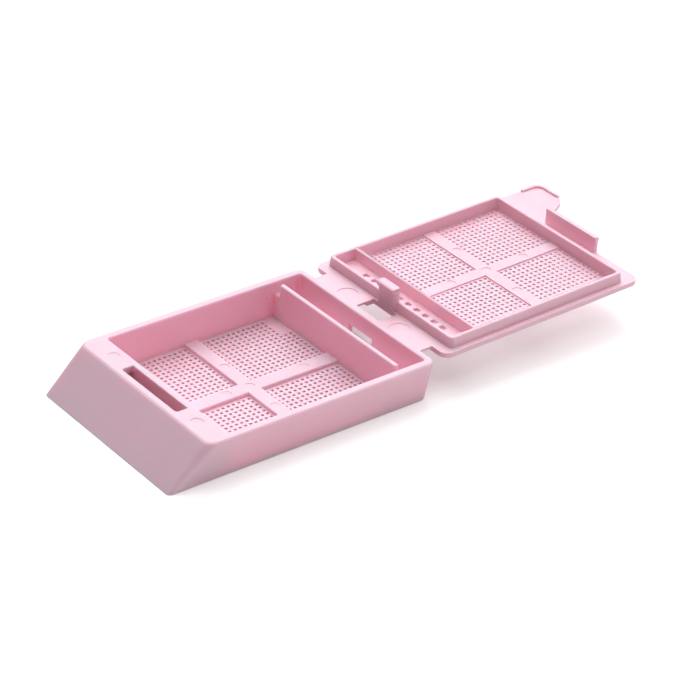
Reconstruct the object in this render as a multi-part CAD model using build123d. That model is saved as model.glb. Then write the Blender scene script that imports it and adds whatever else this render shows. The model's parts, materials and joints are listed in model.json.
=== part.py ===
from build123d import *
import math
import os

# Tissue cassette: a moulded tray with a perforated floor, and the lid it carries on a thin folding web.
# Millimetres. X runs from the foot of the sloping front wall to the hinge and on along the opened lid,
# Y runs across and Z runs up from the ground. The lid is folded right back, nearly level with the rim.
# Its pieces are laid out level, and the finished lid is turned about the fold line by its lift.

os.makedirs("parts", exist_ok=True)

# ---- tray, outside ----
TRAY_LENGTH = 40.8  # foot of the front wall to the rear face, at the rim
TRAY_WIDTH = 28.6  # over the rim
TRAY_HEIGHT = 5.6
FRONT_RUN = 5.6  # how far the sloping front wall leans back over the height
OUTER_DRAFT = 0.55  # how much narrower the foot is than the rim, on each side and at the rear
CORNER_RADIUS = 1.3
RIM_ROUND = 0.35  # outer edge of the rim
FOOT_ROUND = 0.12  # outer edge of the foot

# ---- tray, inside ----
SIDE_WALL = 1.2
REAR_WALL = 1.1
FRONT_WALL = 0.9  # upright wall between the front hollow and the chamber
SLOPE_WALL = 1.2  # sloping wall that carries the writing face
LAND_WIDTH = 3.5  # flat strip of rim between the sloping wall and the chamber
LAND_THICKNESS = 1.0
INNER_DRAFT = 0.1  # how much narrower the chamber is at its floor, on each side
INNER_RADIUS = 0.35  # upright inner corners
MOUTH_ROUND = 0.2  # inner edge of the rim

# ---- floor ----
PANEL_THICKNESS = 0.4  # perforated panels
BAR_HEIGHT = 0.9  # the cross of bars that stiffens the floor, over the ground
LONG_BAR_WIDTH = 2.26
CROSS_BAR_WIDTH = 2.0
CROSS_BAR_PLACE = 12.96  # its middle, behind the chamber's front face
PORE = 0.42  # side of a square pore
PORE_PITCH = 0.8
PORE_TO_BAR = 0.45  # centre of the first pore to the edge of the cross bar
PORE_TO_LONG_BAR = 0.69  # centre of the first pore to the edge of the long bar
PORE_MARGIN = 0.5  # least distance from a pore's centre to a wall
BLIND_COLUMNS = 2  # columns and rows left out in the chamber's two rear corners
BLIND_ROWS = 5

# ---- divider in front of the latch compartment ----
COMPARTMENT_LENGTH = 3.4
DIVIDER_TOP = 0.65
DIVIDER_FOOT = 1.0
DIVIDER_DROP = 0.1  # its top edge lies this far under the rim
NOTCH_GAP = 0.4  # notches at its ends, below the lid's side ribs
NUB_RADIUS = 0.45  # domed nubs on the side walls, just in front of the divider
NUB_HEIGHT = 0.16
NUB_TO_DIVIDER = 1.15
NUB_GAP = 0.2  # below the lid's side ribs

# ---- latch slots ----
TONGUE_GAP = 0.545  # front slot around the tongue's faces
TONGUE_END_GAP = 0.9  # front slot past the tongue's ends
HOOK_END_GAP = 0.72  # rear slot past the hook's ends
HOOK_TOP_GAP = 0.1  # rear slot above the hook's nose, when shut
HOOK_FOOT_GAP = 0.5  # rear slot below it

# ---- folding web ----
WEB_LENGTH = 1.74  # rear face of the tray to the lid's edge, when open
WEB_WIDTH = 22.0
WEB_THICKNESS = 0.35
WEB_WINDOW_GAP = 0.62  # opening in the web, past the ends of the hook behind it
WEB_ROOT = 0.7  # how far each half of the web runs into its plate
FOLD_RISE = 0.03  # fold line over the rim, which keeps the closed lid off it by twice as much
LID_LIFT = 1.2  # degrees by which the opened lid stands above level, as the web springs back

# ---- lid plate and frame ----
PLATE_THICKNESS = 0.75
PLATE_SETBACK = 0.55  # edge of the plate inside the tray's rim, on each side
PLATE_RADIUS = 1.3
RIB_HEIGHT = 1.4
RIB_FOOT = 0.7
RIB_DRAFT = 0.12
RIB_RADIUS = 0.7
SIDE_CLEARANCE = 0.15  # lid frame inside the chamber's side walls
FRONT_CLEARANCE = 0.43  # lid frame behind the chamber's front wall
REAR_CLEARANCE = 0.43  # lid frame in front of the rear wall
DIVIDER_CLEARANCE = 0.45  # middle rib in front of the divider
STEP_DEPTH = 0.24  # floor of the frame under the plate's face
PANEL_DEPTH = 0.45  # perforated panels under the plate's face
LID_LONG_BAR = 1.86
LID_CROSS_BAR = 1.96
LID_PORE_TO_BAR = 0.43
LID_PORE_TO_LONG_BAR = 0.48
LID_PORE_MARGIN = 0.3
STRIP_HOLE_LENGTH = 0.8  # row of larger holes between the hinge rib and the middle rib
STRIP_HOLE_WIDTH = 0.9
STRIP_PITCH = 1.77
STRIP_MARGIN = 4.2  # least distance from the last hole's centre to the frame
STRIP_TO_RIB = 1.35  # centre of the row to the middle rib

# ---- latches and thumb tab ----
HOOK_WIDTH = 3.56
HOOK_HEIGHT = 3.35
HOOK_CLEARANCE = 0.01  # hook's flat face off the rear wall, where the slot begins
HOOK_NOSE = 0.3  # how far the nose stands out of that face
HOOK_NOSE_HEIGHT = 0.65
HOOK_LEAD = 0.2  # slope under the nose
TONGUE_WIDTH = 10.1
TONGUE_HEIGHT = 2.25
TONGUE_THICKNESS = 0.65
TONGUE_BEAD = 0.2
TAB_REACH = 6.5  # past the plate's front edge
TAB_WIDTH = 6.45
TAB_CORNER = 1.5
LIP_HEIGHT = 0.3
LIP_WIDTH = 0.45
LIP_START = 3.1  # where the lip begins, past the plate's front edge
LIP_SPAN = 4.1  # how far it runs along the tab's end

# ---- moulding marks ----
MARK_RADIUS = 0.7
MARK_DEPTH = 0.08
MARK_BESIDE = 5.5  # on the tray, centre of the cross to the marks on its side arms
MARK_AHEAD = 3.6  # to the mark on its front arm
MARK_BEHIND = 8.6  # to the mark on its rear arm
LID_MARK_BESIDE = 6.3  # the same on the lid
LID_MARK_NEAR = 6.1  # to the mark on the hinge's side
LID_MARK_FAR = 6.4  # to the mark beyond
WEB_MARK_RADIUS = 1.45  # the larger pair, centred on the fold line
WEB_MARK_REACH = 5.4  # to each side
LAND_MARK_RADIUS = 0.9  # the pair in line with the front slot
LAND_MARK_REACH = 9.1
STRIP_MARK_REACH = 11.0  # the pair in line with the lid's larger holes

# ---- places that follow from the sizes above ----
HALF_WIDTH = TRAY_WIDTH / 2
CHAMBER_HALF = HALF_WIDTH - SIDE_WALL
CHAMBER_FRONT = FRONT_RUN + LAND_WIDTH
REAR_INNER = TRAY_LENGTH - REAR_WALL
DIVIDER_BACK = REAR_INNER - COMPARTMENT_LENGTH
DIVIDER_FRONT = DIVIDER_BACK - DIVIDER_TOP
SLOT_BACK = CHAMBER_FRONT - FRONT_WALL
SLOT_FRONT = SLOT_BACK - TONGUE_THICKNESS - 2 * TONGUE_GAP
CROSS_BAR_X = CHAMBER_FRONT + CROSS_BAR_PLACE
FOLD_X = TRAY_LENGTH + WEB_LENGTH / 2
ORIGIN_X = TRAY_LENGTH / 2  # the model's origin: middle of the tray, on the ground
RIM = TRAY_HEIGHT
CUT = 1.0  # how far a cutting block runs past the face it cuts


def opened(x):
    """Place on the folded-back lid of what lies at x when the lid is shut."""
    return 2 * FOLD_X - x


def block(x_min, x_max, y_min, y_max, z_min, z_max):
    """Box between the given planes."""
    size = (x_max - x_min, y_max - y_min, z_max - z_min)
    middle = Pos((x_min + x_max) / 2, (y_min + y_max) / 2, (z_min + z_max) / 2)
    return middle * Box(*size)


def prism(points, half_width):
    """Polygon in the X-Z plane, carried the same distance to both sides."""
    face = make_face(Plane.XZ * Polyline(*points, close=True))
    return extrude(face, half_width, both=True)


def tapered_block(low, high, z_low, z_high, radius):
    """Flat-sided block between two rectangles, each given as (x_min, x_max, half_width)."""
    (low_min, low_max, low_half), (high_min, high_max, high_half) = low, high
    half = max(low_half, high_half) + CUT
    block_along = prism([(low_min, z_low), (low_max, z_low), (high_max, z_high), (high_min, z_high)], half)
    across = [(-low_half, z_low), (low_half, z_low), (high_half, z_high), (-high_half, z_high)]
    reach = max(abs(x) for x in (low_min, low_max, high_min, high_max)) + CUT
    block_across = extrude(make_face(Plane.YZ * Polyline(*across, close=True)), reach, both=True)
    body = block_along & block_across
    rising = [edge for edge in body.edges() if edge.bounding_box().size.Z > (z_high - z_low) / 2]
    return fillet(rising, radius)


def steps(first, last):
    """Centres one pore pitch apart, from first towards last."""
    count = int(abs(last - first) / PORE_PITCH + 1e-6) + 1
    sign = 1 if last > first else -1
    return [first + sign * PORE_PITCH * i for i in range(count)]


def perforated_panel(x_range, y_range, z_low, thickness, columns, rows, blind=()):
    """Thin panel with a square pore at each crossing of columns and rows, apart from the blind ones."""
    (x_min, x_max), (y_min, y_max) = x_range, y_range
    outline = Pos((x_min + x_max) / 2, (y_min + y_max) / 2) * Rectangle(x_max - x_min, y_max - y_min)
    centres = [(x, y) for x in columns for y in rows if (x, y) not in blind]
    pores = [(Pos(x, y) * Rectangle(PORE, PORE)).face().outer_wire() for x, y in centres]
    sheet = Face(outline.face().outer_wire(), pores)
    return Pos(0, 0, z_low) * extrude(sheet, thickness, dir=(0, 0, 1))


def marks(places, z, radius=MARK_RADIUS):
    """Shallow round ejector marks, sunk into a face at height z."""
    return [Pos(x, y, z) * Cylinder(radius, 2 * MARK_DEPTH) for x, y in places]


def pair_of_marks(x, reach, z, radius=MARK_RADIUS):
    """Two marks on a line across the cassette."""
    return marks([(x, reach), (x, -reach)], z, radius)


def web_marks():
    """The larger pair of marks, across the fold line."""
    return pair_of_marks(FOLD_X, WEB_MARK_REACH, RIM, WEB_MARK_RADIUS)


def cross_of_marks(x, ahead, behind, beside):
    """Places of the ejector marks on a cross of bars centred at x."""
    return [(x, 0), (x, beside), (x, -beside), (x - ahead, 0), (x + behind, 0)]


def chamber():
    """Inside of the tray's walls, from the ground to above the rim."""
    slope = CUT * INNER_DRAFT / RIM
    floor = (CHAMBER_FRONT + INNER_DRAFT, REAR_INNER - INNER_DRAFT, CHAMBER_HALF - INNER_DRAFT)
    mouth = (CHAMBER_FRONT - slope, REAR_INNER + slope, CHAMBER_HALF + slope)
    return tapered_block(floor, mouth, 0, RIM + CUT, INNER_RADIUS)


def tray_body():
    """Outside of the tray with rounded rim and foot, and its chamber cut down to the floor's bars."""
    foot = (0, TRAY_LENGTH - OUTER_DRAFT, HALF_WIDTH - OUTER_DRAFT)
    rim = (FRONT_RUN, TRAY_LENGTH, HALF_WIDTH)
    body = tapered_block(foot, rim, 0, RIM, CORNER_RADIUS)
    body = fillet(body.faces().sort_by(Axis.Z)[-1].edges(), RIM_ROUND)
    body = fillet(body.faces().sort_by(Axis.Z)[0].edges(), FOOT_ROUND)
    body -= chamber() - block(0, TRAY_LENGTH, -HALF_WIDTH, HALF_WIDTH, -CUT, BAR_HEIGHT)
    mouth_edges = body.faces().sort_by(Axis.Z)[-1].inner_wires()[0].edges()
    return fillet(mouth_edges, MOUTH_ROUND)


def front_hollow():
    """Wedge under the land, between the sloping wall and the chamber's front wall, open below."""
    lean = FRONT_RUN / TRAY_HEIGHT
    foot_x = SLOPE_WALL * math.hypot(1, lean)
    top_z = RIM - LAND_THICKNESS
    wedge = [
        (foot_x - CUT * lean, -CUT),
        (foot_x + top_z * lean, top_z),
        (SLOT_BACK, top_z),
        (SLOT_BACK, -CUT),
    ]
    return prism(wedge, CHAMBER_HALF - INNER_DRAFT)


def tray_floor():
    """Perforated panels that close the windows in the floor, and the windows themselves."""
    half_bar = LONG_BAR_WIDTH / 2
    wall = CHAMBER_HALF - INNER_DRAFT
    rows = steps(half_bar + PORE_TO_LONG_BAR, wall - PORE_MARGIN)
    ahead = CROSS_BAR_X - CROSS_BAR_WIDTH / 2
    behind = CROSS_BAR_X + CROSS_BAR_WIDTH / 2
    front = CHAMBER_FRONT + INNER_DRAFT
    rear = DIVIDER_FRONT - (DIVIDER_FOOT - DIVIDER_TOP)
    front_columns = steps(ahead - PORE_TO_BAR, front + PORE_MARGIN)
    rear_columns = steps(behind + PORE_TO_BAR, rear - PORE_MARGIN)
    blind = [(x, y) for x in rear_columns[-BLIND_COLUMNS:] for y in rows[-BLIND_ROWS:]]
    panels = []
    windows = []
    for x_range, columns in (((front, ahead), front_columns), ((behind, rear), rear_columns)):
        panel = perforated_panel(x_range, (half_bar, wall), 0, PANEL_THICKNESS, columns, rows, blind)
        window = block(*x_range, half_bar, wall, -CUT, RIM) & chamber()
        for piece, group in ((panel, panels), (window, windows)):
            group += [piece, mirror(piece, Plane.XZ)]
    return panels, windows


def divider():
    """Wall between the chamber and the latch compartment, notched at both ends for the side ribs."""
    top = RIM - DIVIDER_DROP
    profile = [
        (DIVIDER_FRONT - (DIVIDER_FOOT - DIVIDER_TOP), PANEL_THICKNESS / 2),
        (DIVIDER_BACK, PANEL_THICKNESS / 2),
        (DIVIDER_BACK, top),
        (DIVIDER_FRONT, top),
    ]
    wall = prism(profile, CHAMBER_HALF + SIDE_WALL / 4)
    end = CHAMBER_HALF - SIDE_CLEARANCE - RIB_FOOT - SIDE_CLEARANCE
    notch = block(0, TRAY_LENGTH, end, HALF_WIDTH, RIM - RIB_HEIGHT - NOTCH_GAP, RIM)
    return wall - notch - mirror(notch, Plane.XZ)


def nubs():
    """Small domed nubs on the side walls, in front of the divider's ends."""
    drop = RIB_HEIGHT + NUB_GAP + NUB_RADIUS
    wall = CHAMBER_HALF - INNER_DRAFT * drop / TRAY_HEIGHT
    centre = wall - NUB_HEIGHT + NUB_RADIUS
    dome = Pos(DIVIDER_FRONT - NUB_TO_DIVIDER, centre, RIM - drop) * Sphere(NUB_RADIUS)
    return dome + mirror(dome, Plane.XZ)


def slot_top():
    """Height of the rear slot's upper edge, just above the hook's nose."""
    return RIM - (HOOK_HEIGHT - HOOK_NOSE_HEIGHT - HOOK_LEAD - HOOK_TOP_GAP)


def rear_slot():
    """Slot through the rear wall that the hook's nose springs into."""
    bottom = RIM - HOOK_HEIGHT - HOOK_FOOT_GAP
    half = HOOK_WIDTH / 2 + HOOK_END_GAP
    return block(REAR_INNER - REAR_WALL, TRAY_LENGTH + CUT, -half, half, bottom, slot_top())


def front_slot():
    """Slot through the land that the lid's tongue goes down into."""
    half = TONGUE_WIDTH / 2 + TONGUE_END_GAP
    slot = block(SLOT_FRONT, SLOT_BACK, -half, half, RIM - LAND_THICKNESS - CUT, RIM + CUT)
    return fillet(slot.edges().filter_by(Axis.Z).group_by(Axis.X)[0], 0.4)


def web_half(x_min, x_max):
    """One half of the folding web, with its share of the window."""
    web = block(x_min, x_max, -WEB_WIDTH / 2, WEB_WIDTH / 2, RIM - WEB_THICKNESS, RIM)
    return web - web_window()


def web_window():
    """Opening in the web, which runs on into the lid as far as the hook's face."""
    half = HOOK_WIDTH / 2 + WEB_WINDOW_GAP
    return block(TRAY_LENGTH, hook_face(), -half, half, RIM - PLATE_THICKNESS - CUT, RIM + CUT)


def hook_face():
    """Place of the hook's flat face on the opened lid: clear of the drafted rear wall, down to the slot."""
    wall = REAR_INNER - INNER_DRAFT * (RIM - slot_top()) / TRAY_HEIGHT
    return opened(wall - HOOK_CLEARANCE)


def make_tray():
    """The tray with its half of the folding web."""
    tray = tray_body() - front_hollow()
    panels, windows = tray_floor()
    tray -= windows
    tray += divider()
    tray += nubs()
    tray -= rear_slot()
    tray -= front_slot()
    tray += web_half(TRAY_LENGTH - WEB_ROOT, FOLD_X)
    tray -= marks(cross_of_marks(CROSS_BAR_X, MARK_AHEAD, MARK_BEHIND, MARK_BESIDE), BAR_HEIGHT)
    tray -= pair_of_marks((SLOT_FRONT + SLOT_BACK) / 2, LAND_MARK_REACH, RIM, LAND_MARK_RADIUS)
    tray -= web_marks()
    tray += panels
    return tray


def frame_sections(inset):
    """Outline of the lid's frame at its foot and top, moved in by inset."""
    x_min = opened(REAR_INNER - REAR_CLEARANCE) + inset
    x_max = opened(CHAMBER_FRONT + FRONT_CLEARANCE) - inset
    half = CHAMBER_HALF - SIDE_CLEARANCE - inset
    return x_min, x_max, half


def frame_inside(z_low):
    """Rounded space inside the frame, from the given height to above its ribs."""
    section = frame_sections(RIB_FOOT)
    return tapered_block(section, section, z_low, RIM + RIB_HEIGHT + CUT, RIB_RADIUS / 2)


def lid_frame():
    """Ribs that drop into the tray: a closed frame and the middle rib in front of the divider."""
    foot = frame_sections(0)
    top = frame_sections(RIB_DRAFT)
    frame = tapered_block(foot, top, RIM, RIM + RIB_HEIGHT, RIB_RADIUS)
    frame -= frame_inside(RIM - CUT)
    middle = middle_rib()
    profile = [
        (middle[0], RIM - STEP_DEPTH),
        (middle[1], RIM - STEP_DEPTH),
        (middle[1] - RIB_DRAFT / 2, RIM + RIB_HEIGHT),
        (middle[0] + RIB_DRAFT / 2, RIM + RIB_HEIGHT),
    ]
    return frame + prism(profile, foot[2] - RIB_FOOT / 2)


def middle_rib():
    """Both faces of the middle rib on the opened lid."""
    face = opened(DIVIDER_FRONT - DIVIDER_CLEARANCE)
    return face, face + RIB_FOOT - RIB_DRAFT / 2


def strip_holes(x):
    """Row of larger holes between the hinge rib and the middle rib."""
    span = frame_sections(RIB_FOOT)[2] - STRIP_MARGIN
    count = 2 * (int((span - STRIP_PITCH / 2) / STRIP_PITCH) + 1)
    row = GridLocations(STRIP_PITCH, STRIP_PITCH, 1, count)
    hole = Box(STRIP_HOLE_LENGTH, STRIP_HOLE_WIDTH, 2 * PLATE_THICKNESS + CUT)
    return [Pos(x, 0, RIM) * place * hole for place in row]


def lid_floor():
    """Perforated panels of the lid, the windows that they close and the step around them."""
    x_min, x_max, half = frame_sections(RIB_FOOT)
    rib_front, rib_back = middle_rib()
    step_low = RIM - STEP_DEPTH
    inside = frame_inside(RIM - PLATE_THICKNESS - CUT)
    strip = block(x_min, rib_front, -half, half, step_low, RIM + CUT) & inside
    field = block(rib_back, x_max, -half, half, step_low, RIM + CUT) & inside
    bar_x = (rib_back + x_max) / 2
    half_bar = LID_LONG_BAR / 2
    ends = ((rib_back, bar_x - LID_CROSS_BAR / 2), (bar_x + LID_CROSS_BAR / 2, x_max))
    rows = steps(half_bar + LID_PORE_TO_LONG_BAR, half - LID_PORE_MARGIN)
    near = steps(ends[0][1] - LID_PORE_TO_BAR, ends[0][0] + LID_PORE_MARGIN)
    far = steps(ends[1][0] + LID_PORE_TO_BAR, ends[1][1] - LID_PORE_MARGIN)
    bottom = RIM - PLATE_THICKNESS
    panels = []
    windows = []
    for x_range, columns in zip(ends, (near, far)):
        thickness = PLATE_THICKNESS - PANEL_DEPTH
        panel = perforated_panel(x_range, (half_bar, half), bottom, thickness, columns, rows)
        window = block(*x_range, half_bar, half, bottom - CUT, RIM + CUT) & inside
        for piece, group in ((panel, panels), (window, windows)):
            group += [piece, mirror(piece, Plane.XZ)]
    return panels, windows, [strip, field], bar_x


def hook():
    """Rear latch: an upright tab whose nose springs into the rear wall's slot."""
    face = hook_face()
    back = frame_sections(RIB_FOOT)[0]
    tip = RIM + HOOK_HEIGHT
    nose_foot = tip - HOOK_NOSE_HEIGHT
    profile = [
        (face, RIM - STEP_DEPTH),
        (face, nose_foot - HOOK_LEAD),
        (face - HOOK_NOSE, nose_foot),
        (face - HOOK_NOSE, tip - HOOK_NOSE / 2),
        (face - HOOK_NOSE / 2, tip),
        (back, tip),
        (back, RIM - STEP_DEPTH),
    ]
    return prism(profile, HOOK_WIDTH / 2)


def tongue(edge):
    """Front latch: a thin upright tongue with a bead, on the plate's front edge."""
    tip = RIM + TONGUE_HEIGHT
    back = edge + TONGUE_THICKNESS
    profile = [
        (edge - PLATE_THICKNESS / 2, RIM - PLATE_THICKNESS),
        (edge - PLATE_THICKNESS / 2, RIM),
        (edge, RIM),
        (edge, tip),
        (back, tip),
        (back + TONGUE_BEAD, tip - 2 * TONGUE_BEAD),
        (back, tip - 4 * TONGUE_BEAD),
        (back, RIM - PLATE_THICKNESS),
    ]
    return prism(profile, TONGUE_WIDTH / 2)


def thumb_tab(edge, side):
    """Tab at one front corner of the lid, with a low lip along its outer edges."""
    end = edge + TAB_REACH
    root = edge - PLATE_RADIUS - TAB_CORNER
    middle = Pos((root + end) / 2, side - TAB_WIDTH / 2)
    outline = middle * RectangleRounded(end - root, TAB_WIDTH, TAB_CORNER)
    plate = Pos(0, 0, RIM - PLATE_THICKNESS) * extrude(outline, PLATE_THICKNESS, dir=(0, 0, 1))
    lip = outline - offset(outline, -LIP_WIDTH)
    corner = Pos(edge + LIP_START, side - LIP_SPAN) * Rectangle(TAB_REACH, LIP_SPAN, align=Align.MIN)
    return plate + Pos(0, 0, RIM - LIP_HEIGHT) * extrude(lip & corner, 2 * LIP_HEIGHT, dir=(0, 0, 1))


def make_lid():
    """The lid with its half of the folding web."""
    half = HALF_WIDTH - PLATE_SETBACK
    hinge_edge = FOLD_X + WEB_LENGTH / 2
    slot_middle = (SLOT_FRONT + SLOT_BACK) / 2
    front_edge = opened(slot_middle) - TONGUE_THICKNESS / 2
    bottom = RIM - PLATE_THICKNESS
    outline = (hinge_edge, front_edge, half)
    lid = tapered_block(outline, outline, bottom, RIM, PLATE_RADIUS)
    panels, windows, steps_down, bar_x = lid_floor()
    lid += thumb_tab(front_edge, half)
    lid += tongue(front_edge)
    lid += lid_frame()
    lid -= steps_down
    lid -= windows
    strip_x = middle_rib()[0] - STRIP_TO_RIB
    lid -= strip_holes(strip_x)
    lid -= pair_of_marks(strip_x, STRIP_MARK_REACH, RIM - STEP_DEPTH)
    lid -= web_window()
    lid += hook()
    lid += web_half(FOLD_X, hinge_edge + WEB_ROOT)
    lid -= marks(cross_of_marks(bar_x, LID_MARK_NEAR, LID_MARK_FAR, LID_MARK_BESIDE), RIM - STEP_DEPTH)
    lid -= web_marks()
    lid += panels
    return lid


def write(name, shape):
    """Write one piece as a STEP file, moved to the model's origin."""
    export_step(Pos(-ORIGIN_X, 0, 0) * shape, f"parts/{name}.step")


fold_line = Axis((FOLD_X, 0, RIM + FOLD_RISE), (0, -1, 0))
write("tray", make_tray())
write("lid", make_lid().rotate(fold_line, LID_LIFT))
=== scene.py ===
"""Tissue cassette of pink acetal: a perforated tray and its snap lid, opened on the folding web.

Sizes are in millimetres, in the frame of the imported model: X runs from the sloping front wall to the hinge
and on along the opened lid, Y runs across and Z up from the ground. Each moulding is shaped at that scale
and brought to metres once it is whole.
"""

import json
import logging
import math
from collections.abc import Callable, Iterable, Iterator
from contextlib import contextmanager
from dataclasses import dataclass, field
from enum import Enum
from typing import NamedTuple

import bmesh
import bpy
from mathutils import Matrix, Vector


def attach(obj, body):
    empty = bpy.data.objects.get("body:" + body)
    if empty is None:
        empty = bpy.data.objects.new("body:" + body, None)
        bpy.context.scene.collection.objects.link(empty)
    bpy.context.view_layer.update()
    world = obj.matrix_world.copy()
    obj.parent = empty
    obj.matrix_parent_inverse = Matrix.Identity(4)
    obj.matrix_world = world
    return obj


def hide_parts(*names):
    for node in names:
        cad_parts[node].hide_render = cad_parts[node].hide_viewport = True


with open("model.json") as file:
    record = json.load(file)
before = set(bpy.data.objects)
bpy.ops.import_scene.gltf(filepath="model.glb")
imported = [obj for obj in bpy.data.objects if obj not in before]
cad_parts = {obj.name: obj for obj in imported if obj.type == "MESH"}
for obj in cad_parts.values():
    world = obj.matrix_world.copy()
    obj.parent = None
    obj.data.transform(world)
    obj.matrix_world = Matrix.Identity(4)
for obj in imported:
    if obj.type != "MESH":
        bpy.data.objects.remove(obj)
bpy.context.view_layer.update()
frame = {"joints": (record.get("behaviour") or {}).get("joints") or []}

log = logging.getLogger("cassette")

MM = 0.001  # metres in a millimetre
CUT = 1.0  # how far a cutting tool runs past the face that it cuts
LAP = 0.05  # how far a joined piece runs into its neighbour
SAME = 1e-3  # two places nearer than this are the same
SHARP = 0.5  # an edge counts as sharp if its faces turn by more than this, in radians
FLAT = 0.005  # and faces count as one if they turn by less than this
SMOOTH = 35.0  # faces that turn by less than this, in degrees, are shaded as one

Point = tuple[float, float, float]
Colour = tuple[float, float, float]
EdgeTest = Callable[[bmesh.types.BMEdge], bool]
Floor = tuple[float, float]


class Span(NamedTuple):
    """A stretch along one axis."""

    low: float
    high: float

    def grown(self, by: float) -> "Span":
        """The same stretch, longer by so much at both ends."""
        return Span(self.low - by, self.high + by)

    @property
    def middle(self) -> float:
        """Its middle."""
        return (self.low + self.high) / 2

    @property
    def size(self) -> float:
        """Its length."""
        return self.high - self.low


class Footprint(NamedTuple):
    """A rectangle that lies evenly about the cassette's middle line."""

    x: Span
    half: float

    def grown(self, by: float) -> "Footprint":
        """The same rectangle, larger by so much on every side."""
        return Footprint(self.x.grown(by), self.half + by)


class Merge(Enum):
    """What one object does to another."""

    JOIN = "UNION"
    CUT = "DIFFERENCE"
    KEEP = "INTERSECT"


class Select(Enum):
    """What is picked in edit mode."""

    VERT = "VERT"
    EDGE = "EDGE"
    FACE = "FACE"


# ---------------------------------------------------------------- shaping


def activate(piece: bpy.types.Object) -> None:
    """Leave one object selected and active.

    Args:
        piece: The object to work on next.
    """
    for other in bpy.context.selected_objects:
        other.select_set(False)
    piece.select_set(True)
    bpy.context.view_layer.objects.active = piece


@contextmanager
def editing(piece: bpy.types.Object, what: Select) -> Iterator[bmesh.types.BMesh]:
    """Hold an object in edit mode with nothing selected.

    Args:
        piece: The object to edit.
        what: What is picked in it.

    Yields:
        The mesh in edit mode.
    """
    activate(piece)
    bpy.ops.object.mode_set(mode="EDIT")
    bpy.ops.mesh.select_mode(type=what.value)
    bpy.ops.mesh.select_all(action="DESELECT")
    yield bmesh.from_edit_mesh(piece.data)
    bpy.ops.object.mode_set(mode="OBJECT")


def pick(mesh: bmesh.types.BMesh, items: Iterable, wanted: Callable[..., bool]) -> None:
    """Select the vertices, edges or faces that pass a test.

    Args:
        mesh: The mesh in edit mode.
        items: Its vertices, edges or faces.
        wanted: Says whether one of them is wanted.
    """
    for item in items:
        item.select_set(wanted(item))
    mesh.select_flush_mode()


def near(a: float, b: float) -> bool:
    """Whether two places are the same."""
    return abs(a - b) < SAME


def outer_edge(edge: bmesh.types.BMEdge) -> bool:
    """Whether an edge is sharp and points outwards."""
    return edge.is_convex and edge.calc_face_angle(0.0) > SHARP


def level_edge(z: float) -> EdgeTest:
    """Test for an outer edge that lies level at one height.

    Args:
        z: The height.

    Returns:
        The test.
    """
    return lambda edge: all(near(vert.co.z, z) for vert in edge.verts) and outer_edge(edge)


def upright_edge(edge: bmesh.types.BMEdge) -> bool:
    """Whether an outer edge climbs the side of a block."""
    rise = abs(edge.verts[0].co.z - edge.verts[1].co.z)
    return rise > edge.calc_length() / 2 and outer_edge(edge)


def round_edges(piece: bpy.types.Object, reach: float, wanted: EdgeTest, segments: int = 3) -> None:
    """Round the picked edges.

    Args:
        piece: The object.
        reach: How far the round reaches from each edge.
        wanted: Says whether an edge is rounded.
        segments: Faces around the round.
    """
    with editing(piece, Select.EDGE) as mesh:
        pick(mesh, mesh.edges, wanted)
        bpy.ops.mesh.bevel(offset=reach, segments=segments, affect="EDGES", clamp_overlap=False)


def block(name: str, x: Span, y: Span, z: Span) -> bpy.types.Object:
    """Cube stretched to a box.

    Args:
        name: The new object's name.
        x: Its extent along X.
        y: Its extent along Y.
        z: Its extent along Z.

    Returns:
        The new object, with its place in its mesh.
    """
    bpy.ops.mesh.primitive_cube_add(size=1)
    piece = bpy.context.object
    piece.name = name
    with editing(piece, Select.FACE):
        bpy.ops.mesh.select_all(action="SELECT")
        bpy.ops.transform.resize(value=(x.size, y.size, z.size), center_override=(0, 0, 0))
        bpy.ops.transform.translate(value=(x.middle, y.middle, z.middle))
    return piece


def slab(name: str, base: Footprint, z: Span) -> bpy.types.Object:
    """Block over a rectangle.

    Args:
        name: The new object's name.
        base: The rectangle.
        z: Its extent along Z.

    Returns:
        The new object.
    """
    return block(name, base.x, Span(-base.half, base.half), z)


def tapered(name: str, low: Footprint, high: Footprint, z: Span) -> bpy.types.Object:
    """Flat-sided block between two rectangles.

    Args:
        name: The new object's name.
        low: The rectangle at its foot.
        high: The rectangle at its top.
        z: The heights of both.

    Returns:
        The new object.
    """
    piece = slab(name, low, z)
    with editing(piece, Select.FACE) as mesh:
        pick(mesh, mesh.faces, lambda face: near(face.calc_center_median().z, z.high))
        scale = (high.x.size / low.x.size, high.half / low.half, 1)
        bpy.ops.transform.resize(value=scale, center_override=(low.x.middle, 0, z.high))
        bpy.ops.transform.translate(value=(high.x.middle - low.x.middle, 0, 0))
    return piece


def raise_top(piece: bpy.types.Object, rise: float, scale: float = 1.0, fixed_x: float = 0.0) -> None:
    """Extrude an object's top face upwards, and widen or narrow it along X.

    Args:
        piece: The object.
        rise: How far up.
        scale: How much longer the new top is along X.
        fixed_x: The place along X that stays where it is.
    """
    with editing(piece, Select.FACE) as mesh:
        top = max(vert.co.z for vert in mesh.verts)
        pick(mesh, mesh.faces, lambda face: near(face.calc_center_median().z, top))
        bpy.ops.mesh.extrude_region_move(TRANSFORM_OT_translate={"value": (0, 0, rise)})
        bpy.ops.transform.resize(value=(scale, 1, 1), center_override=(fixed_x, 0, top + rise))


def sink_foot(piece: bpy.types.Object, by: float) -> None:
    """Pull an object's lowest vertices down, so that it runs into what it stands on.

    Args:
        piece: The object.
        by: How far.
    """
    with editing(piece, Select.VERT) as mesh:
        foot = min(vert.co.z for vert in mesh.verts)
        pick(mesh, mesh.verts, lambda vert: near(vert.co.z, foot))
        bpy.ops.transform.translate(value=(0, 0, -by))


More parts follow.
